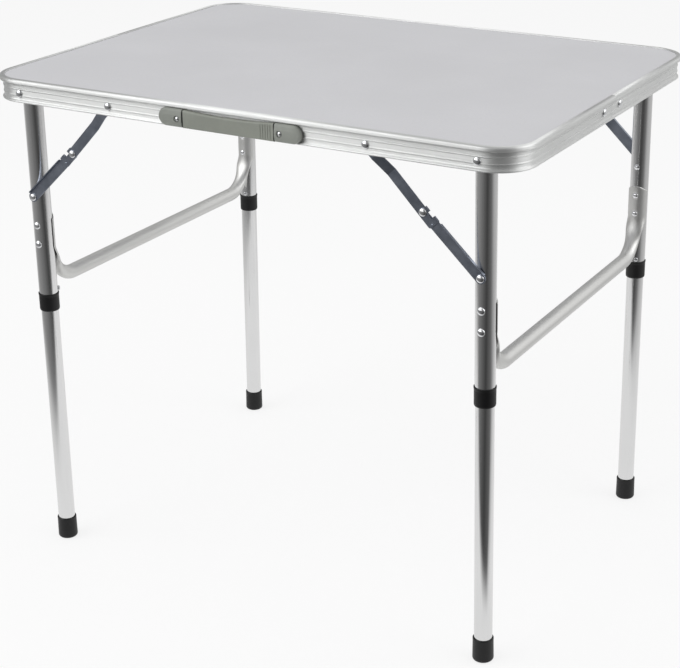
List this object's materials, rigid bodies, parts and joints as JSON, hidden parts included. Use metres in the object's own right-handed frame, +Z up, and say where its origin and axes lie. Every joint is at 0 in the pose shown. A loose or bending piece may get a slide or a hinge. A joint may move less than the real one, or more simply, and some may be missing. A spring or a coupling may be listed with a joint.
{
  "type": "folding camping table",
  "caption": "Folding camping table: laminate top in a ribbed aluminium rim with a strap handle, folding tube leg frames with jointed lock braces and plug-in lower legs.",
  "frame": {"origin": "on the floor below the middle of the top", "axes": "+X along the long side to the right seen from the handle side, +Y from the handle side to the back, +Z up"},
  "size_m": [0.75, 0.5548, 0.67],
  "materials": {
    "rim": "drawn, bright satin",
    "splice": "mill finish",
    "rivets": "polished domes",
    "panel": "hardboard with a light grey laminate",
    "strap": "moulded, olive grey",
    "caps": "moulded, olive grey",
    "screws": "polished",
    "bushes": "moulded, black",
    "upper_tube": "polished",
    "lower_tube": "bright satin",
    "crossbar": "satin",
    "black": "moulded, black",
    "spring": "spring steel, plated",
    "brace": "zinc plated, blue grey"
  },
  "bodies": {
    "table_top": {"rim_front": "rim", "rim_back": "rim", "rim_splice_left": "splice", "rim_splice_right": "splice", "splice_rivets": "rivets", "table_panel": "panel", "handle_cap_left": "caps", "handle_cap_right": "caps", "handle_screws": "screws", "leg_pivot_rivets": "rivets", "leg_pivot_bushes": "bushes", "brace_anchor_rivets": "rivets"},
    "handle_strap": {"handle_grip": "strap"},
    "left_frame": {"left_crossbar": "crossbar", "left_crossbar_rivets": "rivets", "left_brace_rivets": "rivets", "left_front_upper_leg": "upper_tube", "left_front_collar": "black", "left_back_upper_leg": "upper_tube", "left_back_collar": "black"},
    "right_frame": {"right_crossbar": "crossbar", "right_crossbar_rivets": "rivets", "right_brace_rivets": "rivets", "right_front_upper_leg": "upper_tube", "right_front_collar": "black", "right_back_upper_leg": "upper_tube", "right_back_collar": "black"},
    "left_front_extension": {"left_front_lower_leg": "lower_tube", "left_front_foot": "black"},
    "left_front_snap": {"left_front_snap_clip": "spring"},
    "left_front_upper_brace": {"left_front_upper_link": "brace", "left_front_knee_rivet": "rivets"},
    "left_front_lower_brace": {"left_front_lower_link": "brace", "left_front_brace_rivet_head": "rivets"},
    "left_back_extension": {"left_back_lower_leg": "lower_tube", "left_back_foot": "black"},
    "left_back_snap": {"left_back_snap_clip": "spring"},
    "left_back_upper_brace": {"left_back_upper_link": "brace", "left_back_knee_rivet": "rivets"},
    "left_back_lower_brace": {"left_back_lower_link": "brace", "left_back_brace_rivet_head": "rivets"},
    "right_front_extension": {"right_front_lower_leg": "lower_tube", "right_front_foot": "black"},
    "right_front_snap": {"right_front_snap_clip": "spring"},
    "right_front_upper_brace": {"right_front_upper_link": "brace", "right_front_knee_rivet": "rivets"},
    "right_front_lower_brace": {"right_front_lower_link": "brace", "right_front_brace_rivet_head": "rivets"},
    "right_back_extension": {"right_back_lower_leg": "lower_tube", "right_back_foot": "black"},
    "right_back_snap": {"right_back_snap_clip": "spring"},
    "right_back_upper_brace": {"right_back_upper_link": "brace", "right_back_knee_rivet": "rivets"},
    "right_back_lower_brace": {"right_back_lower_link": "brace", "right_back_brace_rivet_head": "rivets"}
  },
  "joints": [
    {"name": "left_fold", "type": "hinge", "parent": "table_top", "child": "left_frame", "pos_m": [-0.3207, 0, 0.6515], "axis": [0, 1, 0], "range_deg": [-90.6, 0]},
    {"name": "right_fold", "type": "hinge", "parent": "table_top", "child": "right_frame", "pos_m": [0.3207, 0, 0.6515], "axis": [0, 1, 0], "range_deg": [0, 90.6]},
    {"name": "strap_shift", "type": "slide", "parent": "table_top", "child": "handle_strap", "axis": [1, 0, 0], "range_m": [-0.0012, 0.0006]},
    {"name": "left_front_upper_brace_pivot", "type": "hinge", "parent": "table_top", "child": "left_front_upper_brace", "pos_m": [-0.1812, -0.2678, 0.6515], "axis": [0, 1, 0], "range_deg": [0, 45.98]},
    {"name": "left_front_knee", "type": "hinge", "parent": "left_front_upper_brace", "child": "left_front_lower_brace", "pos_m": [-0.25021, -0.2605, 0.57998], "axis": [0, 1, 0], "range_deg": [-182.56, 0]},
    {"name": "left_front_leg_slide", "type": "slide", "parent": "left_frame", "child": "left_front_extension", "axis": [0.0146, 0, 0.9999], "range_m": [0, 0.03], "deforming": ["left_front_snap_clip"]},
    {"name": "left_front_snap_press", "type": "slide", "parent": "left_front_extension", "child": "left_front_snap", "axis": [-0.707, -0.7071, 0.0103], "range_m": [0, 0.003], "stiffness_N_per_m": 400, "deforming": ["left_front_snap_clip"]},
    {"name": "left_back_upper_brace_pivot", "type": "hinge", "parent": "table_top", "child": "left_back_upper_brace", "pos_m": [-0.1812, 0.2678, 0.6515], "axis": [0, 1, 0], "range_deg": [0, 45.98]},
    {"name": "left_back_knee", "type": "hinge", "parent": "left_back_upper_brace", "child": "left_back_lower_brace", "pos_m": [-0.25021, 0.2605, 0.57998], "axis": [0, 1, 0], "range_deg": [-182.56, 0]},
    {"name": "left_back_leg_slide", "type": "slide", "parent": "left_frame", "child": "left_back_extension", "axis": [0.0146, 0, 0.9999], "range_m": [0, 0.03], "deforming": ["left_back_snap_clip"]},
    {"name": "left_back_snap_press", "type": "slide", "parent": "left_back_extension", "child": "left_back_snap", "axis": [-0.2079, 0.9781, 0.003], "range_m": [0, 0.003], "stiffness_N_per_m": 400, "deforming": ["left_back_snap_clip"]},
    {"name": "right_front_upper_brace_pivot", "type": "hinge", "parent": "table_top", "child": "right_front_upper_brace", "pos_m": [0.1812, -0.2678, 0.6515], "axis": [0, 1, 0], "range_deg": [-45.98, 0]},
    {"name": "right_front_knee", "type": "hinge", "parent": "right_front_upper_brace", "child": "right_front_lower_brace", "pos_m": [0.25021, -0.2605, 0.57998], "axis": [0, 1, 0], "range_deg": [0, 182.56]},
    {"name": "right_front_leg_slide", "type": "slide", "parent": "right_frame", "child": "right_front_extension", "axis": [-0.0146, 0, 0.9999], "range_m": [0, 0.03], "deforming": ["right_front_snap_clip"]},
    {"name": "right_front_snap_press", "type": "slide", "parent": "right_front_extension", "child": "right_front_snap", "axis": [0, -1, 0], "range_m": [0, 0.003], "stiffness_N_per_m": 400, "deforming": ["right_front_snap_clip"]},
    {"name": "right_back_upper_brace_pivot", "type": "hinge", "parent": "table_top", "child": "right_back_upper_brace", "pos_m": [0.1812, 0.2678, 0.6515], "axis": [0, 1, 0], "range_deg": [-45.98, 0]},
    {"name": "right_back_knee", "type": "hinge", "parent": "right_back_upper_brace", "child": "right_back_lower_brace", "pos_m": [0.25021, 0.2605, 0.57998], "axis": [0, 1, 0], "range_deg": [0, 182.56]},
    {"name": "right_back_leg_slide", "type": "slide", "parent": "right_frame", "child": "right_back_extension", "axis": [-0.0146, 0, 0.9999], "range_m": [0, 0.03], "deforming": ["right_back_snap_clip"]},
    {"name": "right_back_snap_press", "type": "slide", "parent": "right_back_extension", "child": "right_back_snap", "axis": [-0.342, 0.9397, -0.005], "range_m": [0, 0.003], "stiffness_N_per_m": 400, "deforming": ["right_back_snap_clip"]}
  ],
  "couplings": [
    {"joint": "left_front_upper_brace_pivot", "follows": "left_fold", "ratio": -0.5074},
    {"joint": "left_front_knee", "follows": "left_fold", "ratio": 2.0149},
    {"joint": "left_front_leg_slide", "follows": "left_fold", "m_per_rad": -0.01897},
    {"joint": "left_back_upper_brace_pivot", "follows": "left_fold", "ratio": -0.5074},
    {"joint": "left_back_knee", "follows": "left_fold", "ratio": 2.0149},
    {"joint": "left_back_leg_slide", "follows": "left_fold", "m_per_rad": -0.01897},
    {"joint": "right_front_upper_brace_pivot", "follows": "right_fold", "ratio": -0.5074},
    {"joint": "right_front_knee", "follows": "right_fold", "ratio": 2.0149},
    {"joint": "right_front_leg_slide", "follows": "right_fold", "m_per_rad": 0.01897},
    {"joint": "right_back_upper_brace_pivot", "follows": "right_fold", "ratio": -0.5074},
    {"joint": "right_back_knee", "follows": "right_fold", "ratio": 2.0149},
    {"joint": "right_back_leg_slide", "follows": "right_fold", "m_per_rad": 0.01897}
  ]
}
